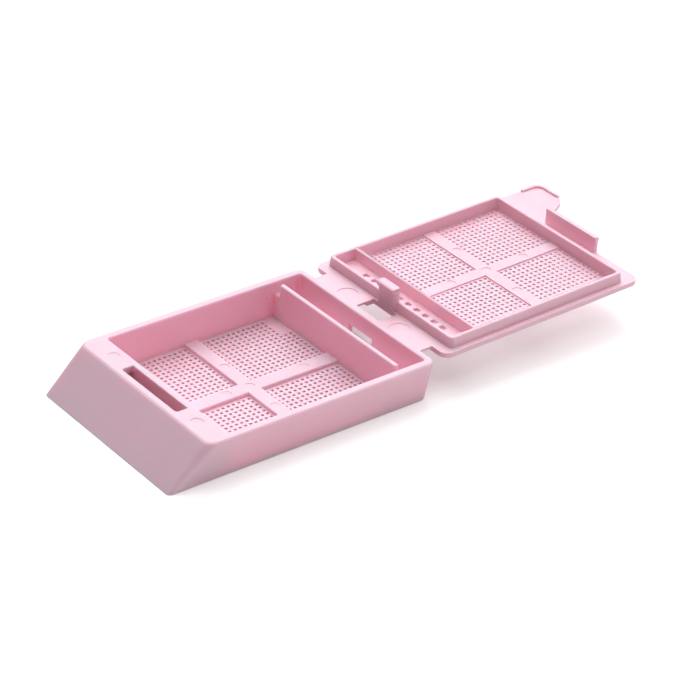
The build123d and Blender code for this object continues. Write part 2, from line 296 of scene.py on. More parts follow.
def copied(piece: bpy.types.Object, places: Iterable[Point]) -> bpy.types.Object:
    """Copy an object to several places and join the copies.

    Args:
        piece: The object, which is used up.
        places: How far each copy is moved.

    Returns:
        The joined copies.
    """
    copies = []
    for place in places:
        activate(piece)
        bpy.ops.object.duplicate()
        copy = bpy.context.object
        with editing(copy, Select.FACE):
            bpy.ops.mesh.select_all(action="SELECT")
            bpy.ops.transform.translate(value=place)
        copies.append(copy)
    bpy.data.objects.remove(piece)
    return gather(copies)


def mirrored(piece: bpy.types.Object) -> bpy.types.Object:
    """Add the object's mirror image on the other side of the middle line.

    Args:
        piece: The object.

    Returns:
        The same object.
    """
    activate(piece)
    modifier = piece.modifiers.new("both_sides", "MIRROR")
    modifier.use_axis = (False, True, False)
    modifier.use_mirror_merge = False
    bpy.ops.object.modifier_apply(modifier=modifier.name)
    return piece


def gather(pieces: list[bpy.types.Object]) -> bpy.types.Object:
    """Join objects that don't touch each other.

    Args:
        pieces: The objects, of which the first stays.

    Returns:
        The joined object.
    """
    activate(pieces[0])
    for piece in pieces:
        piece.select_set(True)
    if len(pieces) > 1:
        bpy.ops.object.join()
    return pieces[0]


def merge(piece: bpy.types.Object, tool: bpy.types.Object, how: Merge) -> None:
    """Join, cut or keep one object with another, which is used up.

    Args:
        piece: The object that stays.
        tool: The object that is used up.
        how: What is done.
    """
    activate(piece)
    modifier = piece.modifiers.new(how.name.lower(), "BOOLEAN")
    modifier.operation = how.value
    modifier.solver = "EXACT"
    modifier.object = tool
    bpy.ops.object.modifier_apply(modifier=modifier.name)
    bpy.data.objects.remove(tool)


def dissolve_seams(piece: bpy.types.Object) -> None:
    """Take out the edges that a join leaves on flat faces.

    Args:
        piece: The object.
    """
    with editing(piece, Select.EDGE):
        bpy.ops.mesh.select_all(action="SELECT")
        bpy.ops.mesh.dissolve_limited(angle_limit=FLAT)


def steps(first: float, last: float, pitch: float) -> list[float]:
    """Places one pitch apart, from first towards last.

    Args:
        first: The first place.
        last: How far they may reach.
        pitch: The distance between neighbours.

    Returns:
        The places.
    """
    count = int(abs(last - first) / pitch + 1e-6) + 1
    step = math.copysign(pitch, last - first)
    return [first + step * i for i in range(count)]


class Window(NamedTuple):
    """One opening in a floor, with the places of the pores in the sheet that closes it."""

    x: Span
    y: Span
    columns: list[float]
    rows: list[float]


@dataclass(frozen=True)
class Sieve:
    """Thin perforated sheet with square pores."""

    pore: float = 0.42
    pitch: float = 0.8

    def sheet(
        self, window: Window, z: Span, blind: Callable[[float, float], bool] = lambda x, y: False
    ) -> bpy.types.Object:
        """The sheet in one window.

        Args:
            window: The opening that it closes, a little beyond which it runs.
            z: Its lower and upper face.
            blind: Says where no pore is.

        Returns:
            The new object.
        """
        cells = [Span(min(at), max(at)).grown(self.pitch / 2) for at in (window.columns, window.rows)]
        bpy.ops.mesh.primitive_grid_add(
            x_subdivisions=len(window.columns), y_subdivisions=len(window.rows), size=1
        )
        piece = bpy.context.object
        piece.name = "sheet"
        with editing(piece, Select.FACE) as mesh:
            bpy.ops.mesh.select_all(action="SELECT")
            bpy.ops.transform.resize(value=(cells[0].size, cells[1].size, 1), center_override=(0, 0, 0))
            bpy.ops.transform.translate(value=(cells[0].middle, cells[1].middle, z.high))
            pick(mesh, mesh.faces, lambda face: not blind(*face.calc_center_median().xy))
            bpy.ops.mesh.inset(thickness=(self.pitch - self.pore) / 2, use_individual=True)
            bpy.ops.mesh.delete(type="FACE")
        with editing(piece, Select.VERT) as mesh:
            for axis, (cell, extent) in enumerate(zip(cells, (window.x, window.y))):
                for edge, target in zip(cell, extent.grown(LAP)):
                    pick(mesh, mesh.verts, lambda vert: near(vert.co[axis], edge))
                    shift = [0.0, 0.0, 0.0]
                    shift[axis] = target - edge
                    bpy.ops.transform.translate(value=shift)
        modifier = piece.modifiers.new("thickness", "SOLIDIFY")
        modifier.thickness = z.size
        activate(piece)
        bpy.ops.object.modifier_apply(modifier=modifier.name)
        return piece


@dataclass(frozen=True)
class Marks:
    """Shallow round marks left by the ejector pins."""

    depth: float = 0.08
    sides: int = 40
    radius: float = 0.7
    land_radius: float = 0.9
    land_reach: float = 9.1
    web_radius: float = 1.45
    web_reach: float = 5.4
    strip_reach: float = 11.0

    def sink(self, piece: bpy.types.Object, places: list[Floor], z: float, radius: float) -> None:
        """Sink a group of marks into a level face.

        Args:
            piece: The moulding.
            places: Their middles.
            z: Height of the face.
            radius: Their radius.
        """
        bpy.ops.mesh.primitive_cylinder_add(vertices=self.sides, radius=radius, depth=2 * self.depth)
        pin = bpy.context.object
        merge(piece, copied(pin, [(x, y, z) for x, y in places]), Merge.CUT)

    def pair(self, piece: bpy.types.Object, x: float, reach: float, z: float, radius: float) -> None:
        """Sink two marks on a line across.

        Args:
            piece: The moulding.
            x: Place of the line.
            reach: From the middle to each.
            z: Height of the face.
            radius: Their radius.
        """
        self.sink(piece, [(x, reach), (x, -reach)], z, radius)

    def cross(self, piece: bpy.types.Object, x: float, z: float, beside: float, along: Span) -> None:
        """Sink five marks into a cross of bars.

        Args:
            piece: The moulding.
            x: Place of the cross's middle.
            z: Height of the face.
            beside: From the middle to the marks beside it.
            along: From the middle to the marks before and after it.
        """
        places = [(x, 0), (x, beside), (x, -beside), (x + along.low, 0), (x + along.high, 0)]
        self.sink(piece, places, z, self.radius)


# ---------------------------------------------------------------- finishes


@dataclass(frozen=True)
class Acetal:
    """Satin, slightly translucent moulded acetal."""

    fold: float  # place of the fold line along X, in metres
    name: str = "satin_acetal"
    slot: str = "pink_acetal"
    pale: Colour = (0.995, 0.645, 0.735)
    deep: Colour = (0.990, 0.610, 0.705)
    glow_radius: Colour = (1.0, 0.60, 0.64)
    glow_depth: float = 0.38
    thick_glow_depth: float = 1.3  # where the moulding is thick
    thick_above: Span | None = None  # the heights over which it gets thick, if it does
    fold_band: Span = Span(0.3, 1.3)  # from the fold line, where the glow begins and where it is whole
    refraction: float = 1.48
    sheen: float = 0.8
    gloss: Span = Span(0.32, 0.44)
    cloud: float = 9.0  # size of the slow changes of colour
    satin: float = 0.9  # size of the changes of gloss
    grain: float = 0.12  # size of the spark-eroded grain
    grain_height: float = 0.004

    def make(self) -> bpy.types.Material:
        """The material, on Object coordinates.

        Returns:
            The new material.
        """
        material = bpy.data.materials.new(self.name)
        material.use_nodes = True
        tree = material.node_tree
        add, link = tree.nodes.new, tree.links.new
        shader = tree.nodes["Principled BSDF"]
        shader.inputs["IOR"].default_value = self.refraction
        shader.inputs["Specular IOR Level"].default_value = self.sheen
        shader.inputs["Subsurface Radius"].default_value = self.glow_radius
        shader.inputs["Subsurface Scale"].default_value = self.glow_depth * MM
        place = add("ShaderNodeTexCoord")
        apart = add("ShaderNodeSeparateXYZ")
        link(place.outputs["Object"], apart.inputs["Vector"])

        def noise(size: float, detail: float) -> bpy.types.Node:
            """Noise whose features have a size in millimetres."""
            node = add("ShaderNodeTexNoise")
            node.inputs["Scale"].default_value = 1 / (size * MM)
            node.inputs["Detail"].default_value = detail
            link(place.outputs["Object"], node.inputs["Vector"])
            return node

        def ramp(source: bpy.types.NodeSocket, start: Span, end: Span, name: str) -> None:
            """Map a value from one stretch to another, into an input of the shader."""
            node = add("ShaderNodeMapRange")
            for socket, value in zip(("From Min", "From Max", "To Min", "To Max"), (*start, *end)):
                node.inputs[socket].default_value = value
            link(source, node.inputs["Value"])
            link(node.outputs["Result"], shader.inputs[name])

        def metres(stretch: Span) -> Span:
            """A stretch of millimetres in metres."""
            return Span(stretch.low * MM, stretch.high * MM)

        if self.thick_above:
            depths = Span(self.glow_depth, self.thick_glow_depth)
            ramp(apart.outputs["Z"], metres(self.thick_above), metres(depths), "Subsurface Scale")
        tint = add("ShaderNodeMix")
        tint.data_type = "RGBA"
        tint.inputs["A"].default_value = (*self.deep, 1)
        tint.inputs["B"].default_value = (*self.pale, 1)
        link(noise(self.cloud, 2).outputs["Fac"], tint.inputs["Factor"])
        link(tint.outputs["Result"], shader.inputs["Base Color"])
        ramp(noise(self.satin, 3).outputs["Fac"], Span(0, 1), self.gloss, "Roughness")
        along = add("ShaderNodeMath")
        along.operation = "SUBTRACT"
        along.inputs[1].default_value = self.fold
        link(apart.outputs["X"], along.inputs[0])
        reach = add("ShaderNodeMath")
        reach.operation = "ABSOLUTE"
        link(along.outputs[0], reach.inputs[0])
        ramp(reach.outputs[0], metres(self.fold_band), Span(0, 1), "Subsurface Weight")
        bump = add("ShaderNodeBump")
        bump.inputs["Distance"].default_value = self.grain_height * MM
        link(noise(self.grain, 1).outputs["Fac"], bump.inputs["Height"])
        link(bump.outputs["Normal"], shader.inputs["Normal"])
        return material


@dataclass(frozen=True)
class Paper:
    """Plain white paper that the cassette stands on."""

    grey: float = 0.88
    lift: float = 0.3  # what the camera sees on top of the light that falls on it
    roughness: float = 0.9
    sheen: float = 0.1

    def make(self) -> bpy.types.Material:
        """The material.

        Returns:
            The new material.
        """
        material = bpy.data.materials.new("paper")
        material.use_nodes = True
        tree = material.node_tree
        add, link = tree.nodes.new, tree.links.new
        shader = tree.nodes["Principled BSDF"]
        shader.inputs["Base Color"].default_value = (self.grey, self.grey, self.grey, 1)
        shader.inputs["Roughness"].default_value = self.roughness
        shader.inputs["Specular IOR Level"].default_value = self.sheen
        rays = add("ShaderNodeLightPath")
        white = add("ShaderNodeEmission")
        seen = add("ShaderNodeMath")
        seen.operation = "MULTIPLY"
        seen.inputs[1].default_value = self.lift
        both = add("ShaderNodeAddShader")
        link(rays.outputs["Is Camera Ray"], seen.inputs[0])
        link(seen.outputs[0], white.inputs["Strength"])
        link(shader.outputs["BSDF"], both.inputs[0])
        link(white.outputs["Emission"], both.inputs[1])
        link(both.outputs["Shader"], tree.nodes["Material Output"].inputs["Surface"])
        return material


# ---------------------------------------------------------------- the two mouldings


@dataclass(frozen=True)
class Hinge:
    """The folding web between tray and lid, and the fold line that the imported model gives."""

    x: float
    z: float
    lift: float  # degrees by which the opened lid stands above level
    length: float = 1.74
    half: float = 11.0
    thickness: float = 0.35
    window_half: float = 2.4
    root: float = 0.7

    @classmethod
    def from_frame(cls) -> "Hinge":
        """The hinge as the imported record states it."""
        joint = frame["joints"][0]
        x, _, z = (value / MM for value in joint["pos_m"])
        return cls(x, z, 180 - joint["range_deg"][1])

    def opened(self, x: float) -> float:
        """Place on the folded-back lid of what lies at x when the lid is shut."""
        return 2 * self.x - x

    def film(self, x: Span, rim: float, window: Span) -> bpy.types.Object:
        """Half of the web, with its share of the window.

        Args:
            x: Its extent along X.
            rim: Height of its upper face.
            window: Extent of the window along X.

        Returns:
            The new object.
        """
        z = Span(rim - self.thickness, rim)
        film = slab("film", Footprint(x, self.half), z)
        merge(film, slab("window", Footprint(window, self.window_half), z.grown(CUT)), Merge.CUT)
        return film


@dataclass(frozen=True)
class Latches:
    """The hook at the lid's rear, the tongue at its front and the slots that take them."""

    hook_half: float = 1.78
    hook_height: float = 3.35
    hook_clearance: float = 0.01
    nose: float = 0.3
    nose_height: float = 0.65
    nose_lead: float = 0.2
    tongue_half: float = 5.05
    tongue_height: float = 2.25
    tongue_thickness: float = 0.65
    bead: float = 0.2
    front_slot_half: float = 5.95
    front_slot_gap: float = 0.545
    rear_slot_half: float = 2.5
    rear_slot_above: float = 0.1
    rear_slot_below: float = 0.5


@dataclass
class Tray:
    """The tray: sloping front wall, perforated floor with its cross of bars, divider and half the web."""

    hinge: Hinge
    latches: Latches
    marks: Marks = field(default_factory=Marks)
    sieve: Sieve = field(default_factory=Sieve)
    half_width: float = 14.3
    height: float = 5.6
    front_run: float = 5.6
    draft: float = 0.55
    corner: float = 1.35
    foot_corner: float = 0.45  # the front corners' round at the foot, as a share of that at the rim
    rim_round: float = 0.35
    foot_round: float = 0.14
    side_wall: float = 1.2
    rear_wall: float = 1.1
    front_wall: float = 0.9
    slope_wall: float = 1.2
    land: float = 3.5
    land_thickness: float = 1.0
    inner_draft: float = 0.1
    inner_corner: float = 0.35
    mouth_round: float = 0.2
    sheet_top: float = 0.4
    bar_top: float = 0.9
    bar_round: float = 0.08
    long_bar_half: float = 1.13
    cross_bar_half: float = 1.0
    cross_bar_place: float = 12.96
    pore_to_bar: float = 0.45
    pore_to_long_bar: float = 0.69
    pore_margin: float = 0.5
    blind_columns: int = 2
    blind_rows: int = 5
    compartment: float = 3.4
    divider_top: float = 0.65
    divider_foot: float = 1.0
    divider_drop: float = 0.1
    divider_round: float = 0.14
    notch_height: float = 3.8
    notch_gap: float = 1.0
    nub_radius: float = 0.45
    nub_rings: int = 12
    nub_height: float = 0.16
    nub_z: float = 3.55
    nub_to_divider: float = 1.15
    slot_corner: float = 0.4
    mark_beside: float = 5.5
    marks_along: Span = Span(-3.6, 8.6)

    def __post_init__(self) -> None:
        """Work out the places that follow from the sizes."""
        self.rear = self.hinge.x - self.hinge.length / 2
        self.front = -self.rear
        self.rim_front = self.front + self.front_run
        self.mouth = Footprint(
            Span(self.rim_front + self.land, self.rear - self.rear_wall), self.half_width - self.side_wall
        )
        self.floor = self.mouth.grown(-self.inner_draft)
        self.divider_back = self.mouth.x.high - self.compartment
        self.divider_front = self.divider_back - self.divider_top
        middle = self.mouth.x.low + self.cross_bar_place
        self.bar = Span(middle, middle).grown(self.cross_bar_half)
        slot_back = self.mouth.x.low - self.front_wall
        depth = self.latches.tongue_thickness + 2 * self.latches.front_slot_gap
        self.front_slot = Span(slot_back - depth, slot_back)

    def chamber(self) -> bpy.types.Object:
        """Tool for the space inside the walls, from the ground to above the rim."""
        slope = CUT * self.inner_draft / self.height
        tool = tapered("chamber", self.floor, self.mouth.grown(slope), Span(0, self.height + CUT))
        round_edges(tool, self.inner_corner, upright_edge, segments=5)
        return tool

    def shell(self) -> bpy.types.Object:
        """Outside of the tray, hollowed down to the top of the floor's bars."""
        foot = Footprint(Span(self.front, self.rear - self.draft), self.half_width - self.draft)
        rim = Footprint(Span(self.rim_front, self.rear), self.half_width)
        body = tapered("tray_moulding", foot, rim, Span(0, self.height))
        round_edges(body, self.corner, upright_edge, segments=8)
        self.sharpen_foot(body, foot)
        round_edges(body, self.rim_round, level_edge(self.height), segments=4)
        round_edges(body, self.foot_round, level_edge(0), segments=3)
        chamber = self.chamber()
        merge(chamber, slab("below", foot.grown(CUT), Span(-CUT, self.bar_top)), Merge.CUT)
        merge(body, chamber, Merge.CUT)
        round_edges(body, self.mouth_round, self.mouth_edge, segments=3)
        return body

    def sharpen_foot(self, body: bpy.types.Object, foot: Footprint) -> None:
        """Draw the foot of both front corners out towards the sharp corner.

        Args:
            body: The block with rounded corners.
            foot: Its outline on the ground, before the corners were rounded.
        """
        tip = foot.x.low

        def in_corner(place: Vector, side: int) -> bool:
            """Whether a place belongs to the foot of one side's front corner."""
            return near(place.z, 0) and place.x < tip + 2 * self.corner and place.y * side > 0

        with editing(body, Select.VERT) as mesh:
            for side in (1, -1):
                pick(mesh, mesh.verts, lambda vert: in_corner(vert.co, side))
                scale = (self.foot_corner, self.foot_corner, 1)
                bpy.ops.transform.resize(value=scale, center_override=(tip, side * foot.half, 0))

    def mouth_edge(self, edge: bmesh.types.BMEdge) -> bool:
        """Whether an edge lies around the chamber's mouth, and not around the outer rim."""
        reach = self.mouth.grown(self.side_wall / 3)
        inside = all(
            reach.x.low < vert.co.x < reach.x.high and abs(vert.co.y) < reach.half for vert in edge.verts
        )
        return inside and level_edge(self.height)(edge)

    def hollow(self) -> bpy.types.Object:
        """Tool for the wedge under the land, open below."""
        lean = self.front_run / self.height
        foot = self.front + self.slope_wall * math.hypot(1, lean)
        top = self.height - self.land_thickness
        back = self.front_slot.high
        low = Footprint(Span(foot - CUT * lean, back), self.floor.half)
        high = Footprint(Span(foot + top * lean, back), self.floor.half)
        return tapered("hollow", low, high, Span(-CUT, top))

    def windows(self) -> list[Window]:
        """The front and the rear opening in the floor, on the thumb tab's side."""
        half = self.floor.half
        rows = steps(self.long_bar_half + self.pore_to_long_bar, half - self.pore_margin, self.sieve.pitch)
        front = self.floor.x.low
        rear = self.divider_back - self.divider_foot
        ahead = steps(self.bar.low - self.pore_to_bar, front + self.pore_margin, self.sieve.pitch)
        behind = steps(self.bar.high + self.pore_to_bar, rear - self.pore_margin, self.sieve.pitch)
        y = Span(self.long_bar_half, half)
        return [
            Window(Span(front, self.bar.low), y, ahead, rows),
            Window(Span(self.bar.high, rear), y, behind, rows),
        ]

    def blind(self, x: float, y: float) -> bool:
        """Whether the floor has no pore at a place, as in the chamber's rear corners."""
        window = self.windows()[1]
        last = max(window.columns) - (self.blind_columns - 0.5) * self.sieve.pitch
        outer = max(window.rows) - (self.blind_rows - 0.5) * self.sieve.pitch
        return x > last and y > outer

    def pierce(self, tray: bpy.types.Object) -> None:
        """Cut the windows in the floor and round the bars that are left between them.

        Args:
            tray: The moulding.
        """
        openings = gather([block("window", w.x, w.y, Span(-CUT, self.height)) for w in self.windows()])
        tool = self.chamber()
        sink_foot(tool, CUT)
        merge(tool, mirrored(openings), Merge.KEEP)
        merge(tray, tool, Merge.CUT)
        round_edges(tray, self.bar_round, self.bar_edge, segments=2)

    def bar_edge(self, edge: bmesh.types.BMEdge) -> bool:
        """Whether an edge borders the cross of bars, and not the walls."""
        if not level_edge(self.bar_top)(edge):
            return False
        a, b = (vert.co for vert in edge.verts)
        along = near(abs(a.y), self.long_bar_half) and near(abs(b.y), self.long_bar_half)
        across = any(near(a.x, x) and near(b.x, x) for x in self.bar)
        return along or across

    def divider(self) -> bpy.types.Object:
        """Wall before the latch compartment, notched at both ends for the lid's side ribs."""
        top = self.height - self.divider_drop
        low = self.bar_top - 4 * LAP
        lean = (self.divider_foot - self.divider_top) / (top - self.sheet_top)

        def section(z: float, half: float) -> Footprint:
            """Its outline at one height."""
            return Footprint(Span(self.divider_front - lean * (top - z), self.divider_back), half)

        full = self.mouth.half + self.side_wall / 4
        short = self.mouth.half - self.notch_gap
        foot = tapered(
            "divider", section(low, full), section(self.notch_height, full), Span(low, self.notch_height)
        )
        blade = tapered(
            "blade", section(self.notch_height, short), section(top, short), Span(self.notch_height, top)
        )
        round_edges(blade, self.divider_round, upright_edge, segments=3)
        round_edges(blade, self.divider_round, level_edge(top), segments=3)
        sink_foot(blade, LAP)
        merge(foot, blade, Merge.JOIN)
        return foot

    def nubs(self) -> bpy.types.Object:
        """Small domed nubs on the side walls, before the divider's ends."""
        wall = self.mouth.half - self.inner_draft * (self.height - self.nub_z) / self.height
        middle = wall - self.nub_height + self.nub_radius
        bpy.ops.mesh.primitive_uv_sphere_add(
            segments=2 * self.nub_rings, ring_count=self.nub_rings, radius=self.nub_radius
        )
        place = (self.divider_front - self.nub_to_divider, middle, self.nub_z)
        return mirrored(copied(bpy.context.object, [place]))

    def slots(self, tray: bpy.types.Object) -> None:
        """Cut the slots that the hook's nose and the tongue go into.

        Args:
            tray: The moulding.
        """
        lat = self.latches
        top = self.height - (lat.hook_height - lat.nose_height - lat.nose_lead - lat.rear_slot_above)
        bottom = self.height - lat.hook_height - lat.rear_slot_below
        base = Footprint(Span(self.mouth.x.high, self.rear).grown(CUT), lat.rear_slot_half)
        merge(tray, slab("rear_slot", base, Span(bottom, top)), Merge.CUT)
        z = Span(self.height - self.land_thickness, self.height).grown(CUT)
        front = slab("front_slot", Footprint(self.front_slot, lat.front_slot_half), z)
        low = self.front_slot.low
        round_edges(front, self.slot_corner, lambda e: upright_edge(e) and near(e.verts[0].co.x, low), 4)
        merge(tray, front, Merge.CUT)

    def build(self) -> bpy.types.Object:
        """The whole tray, at the scale of millimetres."""
        tray = self.shell()
        merge(tray, self.hollow(), Merge.CUT)
        self.pierce(tray)
        merge(tray, self.divider(), Merge.JOIN)
        merge(tray, self.nubs(), Merge.JOIN)
        self.slots(tray)
        web = Span(self.rear - self.hinge.root, self.hinge.x)
        window = Span(self.rear, self.hinge.x + CUT)
        merge(tray, self.hinge.film(web, self.height, window), Merge.JOIN)
        marks = self.marks
        marks.cross(tray, self.bar.middle, self.bar_top, self.mark_beside, self.marks_along)
        marks.pair(tray, self.front_slot.middle, marks.land_reach, self.height, marks.land_radius)
        marks.pair(tray, self.hinge.x, marks.web_reach, self.height, marks.web_radius)
        z = Span(LAP / 2, self.sheet_top)
        front, rear = self.windows()
        sheets = gather([self.sieve.sheet(front, z), self.sieve.sheet(rear, z, self.blind)])
        merge(tray, mirrored(sheets), Merge.JOIN)
        return tray


@dataclass
class Lid:
    """The lid: plate with a frame of ribs, perforated panels, thumb tab, hook, tongue and half the web."""

    hinge: Hinge
    latches: Latches
    tray: Tray
    marks: Marks = field(default_factory=Marks)
    sieve: Sieve = field(default_factory=Sieve)
    thickness: float = 0.75
    setback: float = 0.55
    plate_lap: float = 0.4  # how far the plate runs past the tongue's inner face
    corner: float = 1.3
    edge_round: float = 0.07
    rib_height: float = 1.4
    rib_foot: float = 0.7
    rib_draft: float = 0.12
    rib_corner: float = 0.7
    rib_round: float = 0.18
    tongue_round: float = 0.1
    tongue_side_round: float = 0.16
    side_clearance: float = 0.15
    end_clearance: float = 0.43
    divider_clearance: float = 0.45
    step_depth: float = 0.24
    sheet_depth: float = 0.45
    long_bar_half: float = 0.93
    cross_bar_half: float = 0.98
    pore_to_bar: float = 0.43
    pore_to_long_bar: float = 0.48
    pore_margin: float = 0.3
    hole_length: float = 0.8
    hole_width: float = 0.9
    hole_pitch: float = 1.77
    hole_margin: float = 4.2
    strip_to_rib: float = 1.35
    hook_round: float = 0.22
    hook_side_round: float = 0.38
    tab_reach: float = 6.5
    tab_width: float = 6.45
    tab_corner: float = 1.5
    tab_flare: float = 3.45  # how much wider the tab's inner side is at its root
    tab_taper: float = 1.2  # and how much narrower at its tip
    lip_height: float = 0.3
    lip_width: float = 0.45
    lip_start: float = 3.1
    lip_span: float = 4.4
    mark_beside: float = 6.3
    marks_along: Span = Span(-6.1, 6.4)

    def __post_init__(self) -> None:
        """Work out the places that follow from the sizes."""
        opened, tray = self.hinge.opened, self.tray
        self.top = tray.height
        self.bottom = self.top - self.thickness
        self.step = self.top - self.step_depth
        front = opened(tray.front_slot.middle) - self.latches.tongue_thickness / 2
        root = self.hinge.x + self.hinge.length / 2
        self.plate = Footprint(Span(root, front), tray.half_width - self.setback)
        ends = Span(
            opened(tray.mouth.x.high - self.end_clearance), opened(tray.mouth.x.low + self.end_clearance)
        )
        self.ribs = Footprint(ends, tray.mouth.half - self.side_clearance)
        self.inside = self.ribs.grown(-self.rib_foot)
        face = opened(tray.divider_front - self.divider_clearance)
        self.middle_rib = Span(face, face + self.rib_foot - self.rib_draft / 2)
        middle = (self.middle_rib.high + self.inside.x.high) / 2
        self.bar = Span(middle, middle).grown(self.cross_bar_half)
        lat = self.latches
        slot_top = lat.hook_height - lat.nose_height - lat.nose_lead - lat.rear_slot_above
        wall = tray.mouth.x.high - tray.inner_draft * slot_top / tray.height
        self.hook_face = opened(wall - lat.hook_clearance)

    def plate_body(self) -> bpy.types.Object:
        """The plate and its thumb tab, with slightly rounded edges."""
        z = Span(self.bottom, self.top)
        x = Span(self.plate.x.low, self.plate.x.high + self.plate_lap)
        body = slab("lid_moulding", Footprint(x, self.plate.half), z)
        round_edges(body, self.corner, upright_edge, segments=8)
        root = self.plate.x.high - self.corner - self.tab_corner
        tip = self.plate.x.high + self.tab_reach
        outline = (Span(root, tip), Span(self.plate.half - self.tab_width, self.plate.half))
        tab = block("tab", *outline, z)
        with editing(tab, Select.VERT) as mesh:
            for end, shift in ((root, -self.tab_flare), (tip, self.tab_taper)):
                pick(mesh, mesh.verts, lambda v: near(v.co.x, end) and near(v.co.y, outline[1].low))
                bpy.ops.transform.translate(value=(0, shift, 0))
        round_edges(tab, self.tab_corner, upright_edge, segments=8)
        merge(body, tab, Merge.JOIN)
        dissolve_seams(body)
        round_edges(body, self.edge_round, level_edge(self.top), segments=2)
        round_edges(body, self.edge_round, level_edge(self.bottom), segments=2)
        merge(body, self.lip(*outline), Merge.JOIN)
        return body

    def lip(self, x: Span, y: Span) -> bpy.types.Object:
        """Low lip along the thumb tab's outer edges.

        Args:
            x: The tab's extent along X.
            y: The tab's extent along Y.

        Returns:
            The new object.
        """
        z = Span(self.top - self.lip_height, self.top + self.lip_height)
        lip = block("lip", x, y, z)
        round_edges(lip, self.tab_corner, upright_edge, segments=8)
        inner = block("inner", x.grown(-self.lip_width), y.grown(-self.lip_width), z.grown(CUT))
        round_edges(inner, self.tab_corner - self.lip_width, upright_edge, segments=8)
        merge(lip, inner, Merge.CUT)
        corner = block(
            "corner",
            Span(self.plate.x.high + self.lip_start, x.high + CUT),
            Span(y.high - self.lip_span, y.high + CUT),
            z.grown(CUT),
        )
        merge(lip, corner, Merge.KEEP)
        round_edges(lip, self.edge_round, level_edge(z.high), segments=2)
        return lip

    def tongue(self) -> bpy.types.Object:
        """Thin upright tongue with a bead, on the plate's front edge."""
        lat = self.latches
        edge = self.plate.x.high
        tip = self.top + lat.tongue_height
        x = Span(edge, edge + lat.tongue_thickness)
        tongue = slab("tongue", Footprint(x, lat.tongue_half), Span(self.bottom, tip - 4 * lat.bead))
        wide = 1 + lat.bead / lat.tongue_thickness
        raise_top(tongue, 2 * lat.bead, wide, edge)
        raise_top(tongue, 2 * lat.bead, 1 / wide, edge)
        round_edges(tongue, self.tongue_side_round, upright_edge, segments=3)
        round_edges(tongue, self.tongue_round, level_edge(tip), segments=2)
        base = Footprint(Span(edge - self.thickness / 2, edge + LAP), lat.tongue_half)
        merge(tongue, slab("root", base, Span(self.bottom, self.top)), Merge.JOIN)
        return tongue

    def hook(self) -> bpy.types.Object:
        """Upright tab at the hinge's side, whose nose springs into the rear wall's slot."""
        lat = self.latches
        back = self.inside.x.low
        x = Span(self.hook_face, back)
        tip = self.top + lat.hook_height
        neck = tip - lat.nose_height - lat.nose_lead
        hook = slab("hook", Footprint(x, lat.hook_half), Span(self.step, neck))
        wide = 1 + lat.nose / x.size
        chamfer = lat.nose / 2
        raise_top(hook, lat.nose_lead, wide, back)
        raise_top(hook, lat.nose_height - chamfer, 1, back)
        raise_top(hook, chamfer, (1 + chamfer / x.size) / wide, back)
        round_edges(hook, self.hook_side_round, upright_edge, segments=4)
        round_edges(hook, self.hook_round, level_edge(tip), segments=3)
        return hook

    def ribs_and_pocket(self, lid: bpy.types.Object) -> None:
        """Raise the frame of ribs on the plate, with the stepped floor inside it.

        Args:
            lid: The moulding.
        """
        crest = self.top + self.rib_height
        ring = tapered("ring", self.ribs, self.ribs.grown(-self.rib_draft), Span(self.top, crest))
        round_edges(ring, self.rib_corner, upright_edge, segments=6)
        sink_foot(ring, LAP)
        merge(lid, ring, Merge.JOIN)
        pocket = slab("pocket", self.inside, Span(self.step, crest + CUT))
        round_edges(pocket, self.rib_corner / 2, upright_edge, segments=4)
        merge(lid, pocket, Merge.CUT)
        half = self.inside.half + self.rib_foot / 2
        low = Footprint(self.middle_rib, half)
        high = Footprint(self.middle_rib.grown(-self.rib_draft / 2), half)
        middle = tapered("middle_rib", low, high, Span(self.step, crest))
        sink_foot(middle, LAP)
        merge(lid, middle, Merge.JOIN)
        round_edges(lid, self.rib_round, level_edge(crest), segments=3)

    def windows(self) -> list[Window]:
        """The near and the far opening in the plate, on the thumb tab's side."""
        rows = steps(
            self.long_bar_half + self.pore_to_long_bar, self.inside.half - self.pore_margin, self.sieve.pitch
        )
        near_end, far_end = self.middle_rib.high, self.inside.x.high
        before = steps(self.bar.low - self.pore_to_bar, near_end + self.pore_margin, self.sieve.pitch)
        beyond = steps(self.bar.high + self.pore_to_bar, far_end - self.pore_margin, self.sieve.pitch)
        y = Span(self.long_bar_half, self.inside.half)
        return [
            Window(Span(near_end, self.bar.low), y, before, rows),
            Window(Span(self.bar.high, far_end), y, beyond, rows),
        ]

    def pierce(self, lid: bpy.types.Object) -> None:
        """Cut the windows and the row of larger holes beside the middle rib.

        Args:
            lid: The moulding.
        """
        z = Span(self.bottom - CUT, self.top)
        tool = slab("inside", self.inside, z)
        round_edges(tool, self.rib_corner / 2, upright_edge, segments=4)
        openings = gather([block("window", w.x, w.y, z.grown(CUT)) for w in self.windows()])
        merge(tool, mirrored(openings), Merge.KEEP)
        merge(lid, tool, Merge.CUT)
        span = self.inside.half - self.hole_margin
        count = int((span - self.hole_pitch / 2) / self.hole_pitch) + 1
        half_x, half_y = self.hole_length / 2, self.hole_width / 2
        hole = block("hole", Span(-half_x, half_x), Span(-half_y, half_y), z)
        x = self.middle_rib.low - self.strip_to_rib
        row = [self.hole_pitch * (i + 0.5) for i in range(-count, count)]
        merge(lid, copied(hole, [(x, y, 0) for y in row]), Merge.CUT)
        round_edges(lid, self.edge_round, level_edge(self.step), segments=2)

